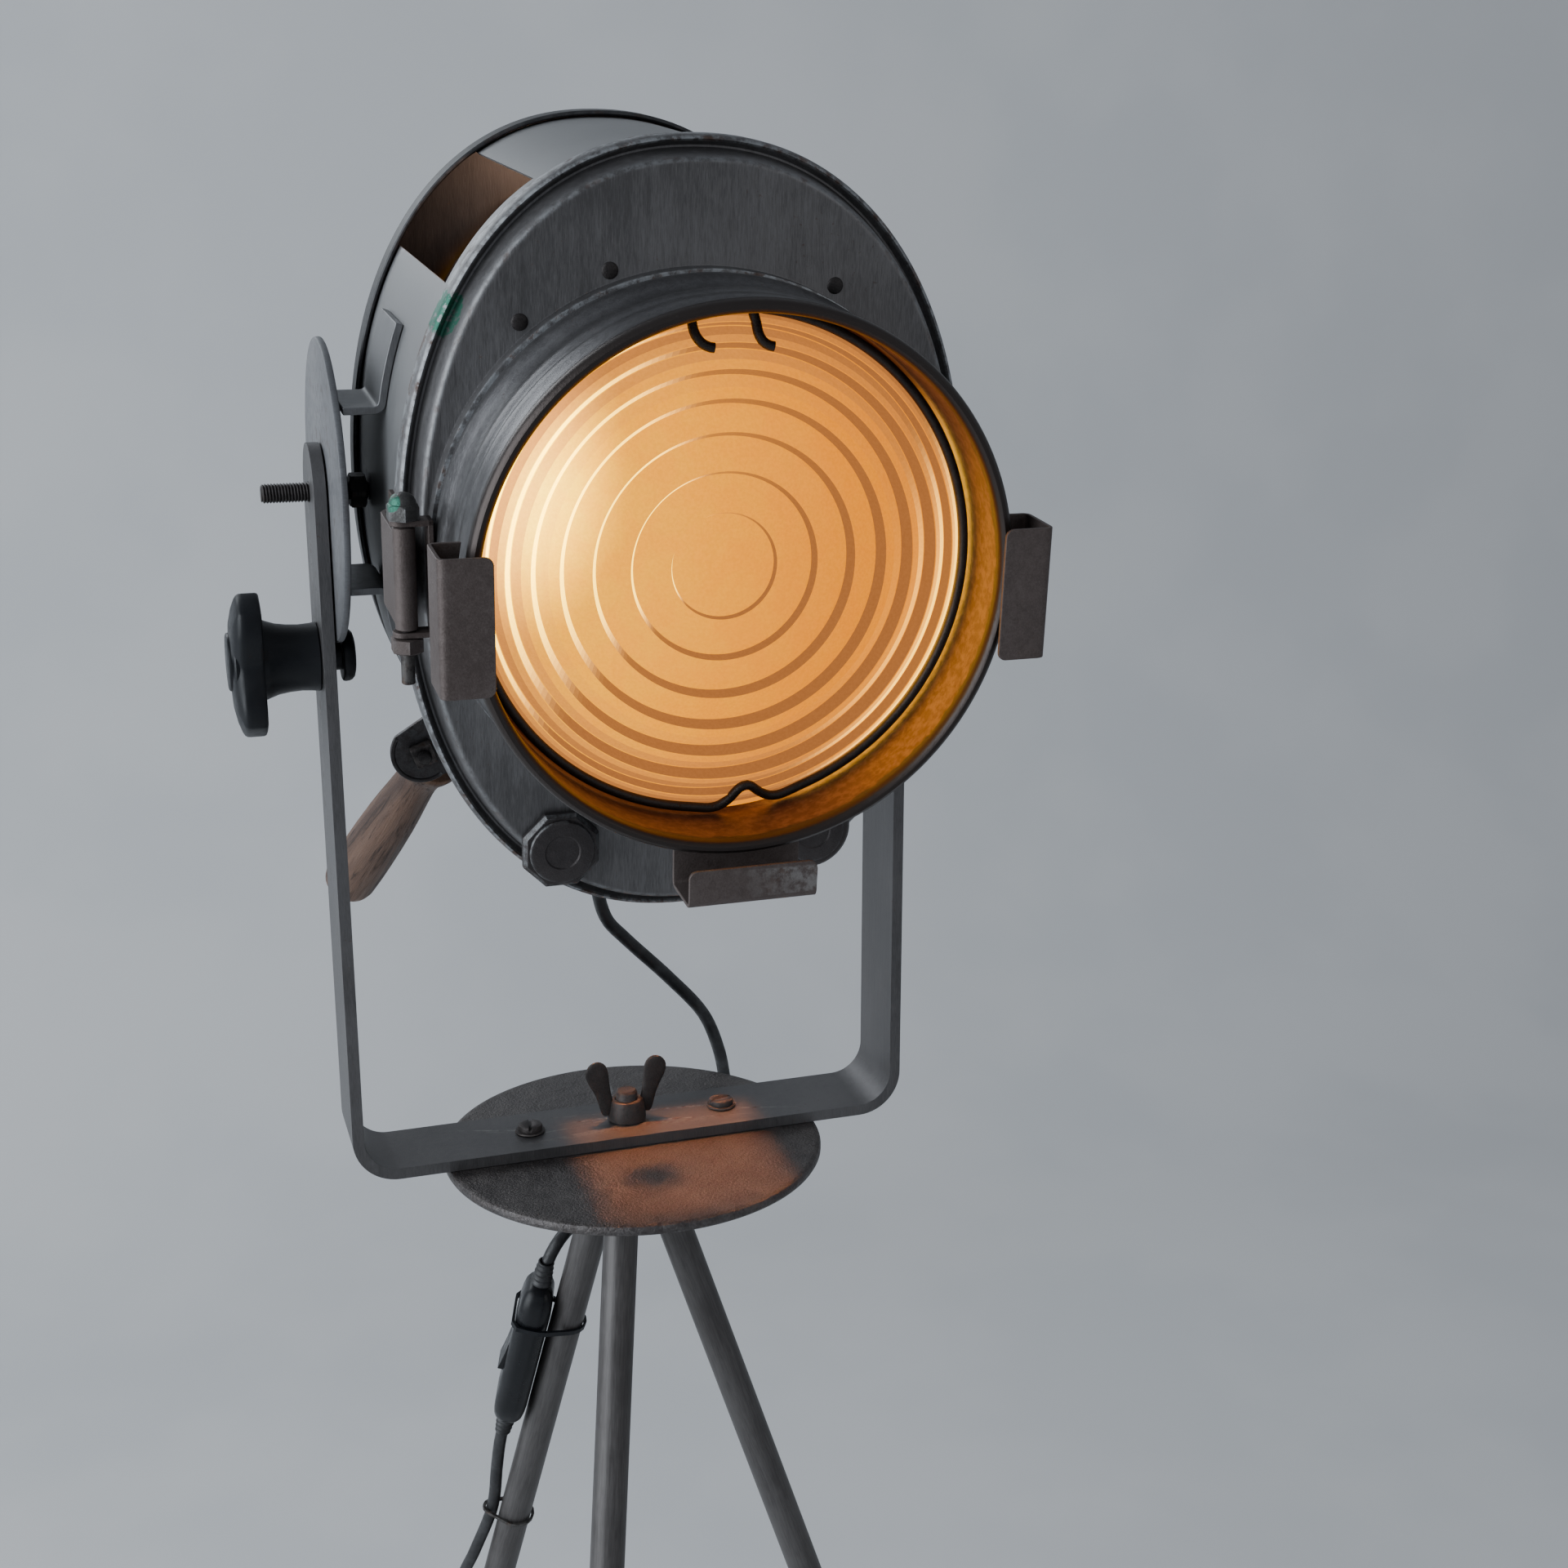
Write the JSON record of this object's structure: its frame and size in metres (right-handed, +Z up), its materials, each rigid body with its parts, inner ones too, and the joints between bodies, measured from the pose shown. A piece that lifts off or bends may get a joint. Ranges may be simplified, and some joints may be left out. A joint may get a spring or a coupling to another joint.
{
  "type": "fresnel spotlight on a tripod",
  "caption": "Vintage fresnel spotlight with an oval steel housing, stepped lens in a round hood, tilting yoke with a clamp disc, and a tripod floor stand with a corded inline switch.",
  "frame": {"origin": "on the floor, at the middle of the stand's and head's bounding box seen from above, with the cord and what is on it left out", "axes": "+Z up, the lens faces -Y and looks down 5.5 degrees, the tilt axis lies along X with its clamp knob at -X"},
  "size_m": [0.5168, 0.5676, 1.4025],
  "materials": {
    "housing_steel": "dark galvanised sheet steel, fine upright brush marks, a few rust chips",
    "bar_steel": "bare bar and plate, brushed and scuffed",
    "dark_steel": "blackened steel, worn at the edges",
    "rusty_steel": "bare steel, pitted and rust-stained",
    "leg_steel": "grey tube with a dull coat",
    "lens_glass": "moulded stepped lens, lit warm from behind",
    "bulb_glass": "clear blown bulb",
    "mirror": "spun and polished reflector",
    "black_plastic": "moulded black plastic",
    "black_rubber": "flexible black rubber or PVC sheath",
    "worn_wood": "turned hardwood, worn and darkened by hands",
    "ceramic": "unglazed ceramic"
  },
  "bodies": {
    "tripod": {"tripod_hub": "leg_steel", "leg_front": "leg_steel", "leg_left": "leg_steel", "leg_right": "leg_steel", "foot_front": "black_rubber", "foot_left": "black_rubber", "foot_right": "black_rubber", "centre_stud": "dark_steel", "switch_body": "black_plastic", "switch_tie": "black_plastic", "wire_tie": "dark_steel", "low_tie": "dark_steel", "cord_middle": "black_rubber", "cord_lower": "black_rubber", "cord_coil": "black_rubber", "coil_tie": "dark_steel", "plug": "black_plastic"},
    "turntable": {"base_plate": "rusty_steel", "yoke": "bar_steel", "yoke_screw_left": "dark_steel", "yoke_screw_right": "dark_steel", "cord_upper": "black_rubber"},
    "wing_nut": {"wing_nut": "dark_steel"},
    "clamp": {"clamp_knob": "black_plastic", "clamp_washer": "black_plastic"},
    "rocker": {"switch_rocker": "black_plastic"},
    "head": {"housing_shell": "housing_steel", "rear_cover": "dark_steel", "vent_baffle": "rusty_steel", "quadrant_disc": "bar_steel", "disc_strap_upper": "bar_steel", "disc_strap_lower": "bar_steel", "pivot_rod_left": "dark_steel", "pivot_nut_left": "dark_steel", "pivot_bolt_right": "dark_steel", "pivot_spacer_right": "bar_steel", "hinge_barrel": "housing_steel", "handle_bracket": "bar_steel", "wooden_handle": "worn_wood", "handle_bolt": "rusty_steel", "cable_gland": "black_rubber", "catch_post": "housing_steel", "rail_frame": "bar_steel"},
    "catch": {"turn_catch": "bar_steel"},
    "door": {"lens_door": "housing_steel", "hood_collar": "housing_steel", "lens": "lens_glass", "lens_wire": "dark_steel", "hinge_bracket": "rusty_steel", "hinge_pin": "rusty_steel", "clip_left": "rusty_steel", "clip_right": "rusty_steel", "clip_bottom": "rusty_steel", "door_cap_left": "bar_steel", "door_cap_right": "bar_steel"},
    "carriage": {"lamp_carriage": "bar_steel", "lamp_holder": "ceramic", "bulb": "bulb_glass", "reflector": "mirror"},
    "focus_knob": {"focus_knob": "black_plastic"}
  },
  "joints": [
    {"name": "pan", "type": "hinge", "parent": "tripod", "child": "turntable", "pos_m": [-0.06764, 0.01295, 0.95], "axis": [0, 0, 1], "range_deg": [-60, 60], "deforming": ["cord_middle"]},
    {"name": "tilt", "type": "hinge", "parent": "turntable", "child": "head", "pos_m": [-0.06764, 0.01295, 1.2513], "axis": [1, 0, 0], "range_deg": [-40, 40], "deforming": ["cord_upper"]},
    {"name": "door_hinge", "type": "hinge", "parent": "head", "child": "door", "pos_m": [-0.17744, -0.1277, 1.23776], "axis": [0, 0.0958, -0.9954], "range_deg": [0, 100]},
    {"name": "catch_turn", "type": "hinge", "parent": "head", "child": "catch", "pos_m": [0.04886, -0.10923, 1.24205], "axis": [0, 0.9954, 0.0958], "range_deg": [0, 90]},
    {"name": "focus_slide", "type": "slide", "parent": "head", "child": "carriage", "axis": [0, 0.9954, 0.0958], "range_m": [-0.025, 0.018]},
    {"name": "focus_knob_turn", "type": "hinge", "parent": "carriage", "child": "focus_knob", "pos_m": [-0.06764, -0.00445, 1.11902], "axis": [0, -0.0958, 0.9954], "range_deg": [0, 270]},
    {"name": "tilt_clamp_turn", "type": "hinge", "parent": "turntable", "child": "clamp", "pos_m": [-0.21264, 0.01295, 1.1828], "axis": [1, 0, 0], "range_deg": [0, 360]},
    {"name": "wing_nut_turn", "type": "hinge", "parent": "turntable", "child": "wing_nut", "pos_m": [-0.06764, 0.01295, 0.9556], "axis": [0, 0, 1], "range_deg": [0, 360]},
    {"name": "switch_rock", "type": "hinge", "parent": "tripod", "child": "rocker", "pos_m": [-0.11724, 0.05936, 0.82023], "axis": [0.3043, 0.9326, 0.194], "range_deg": [-10, 0]}
  ]
}
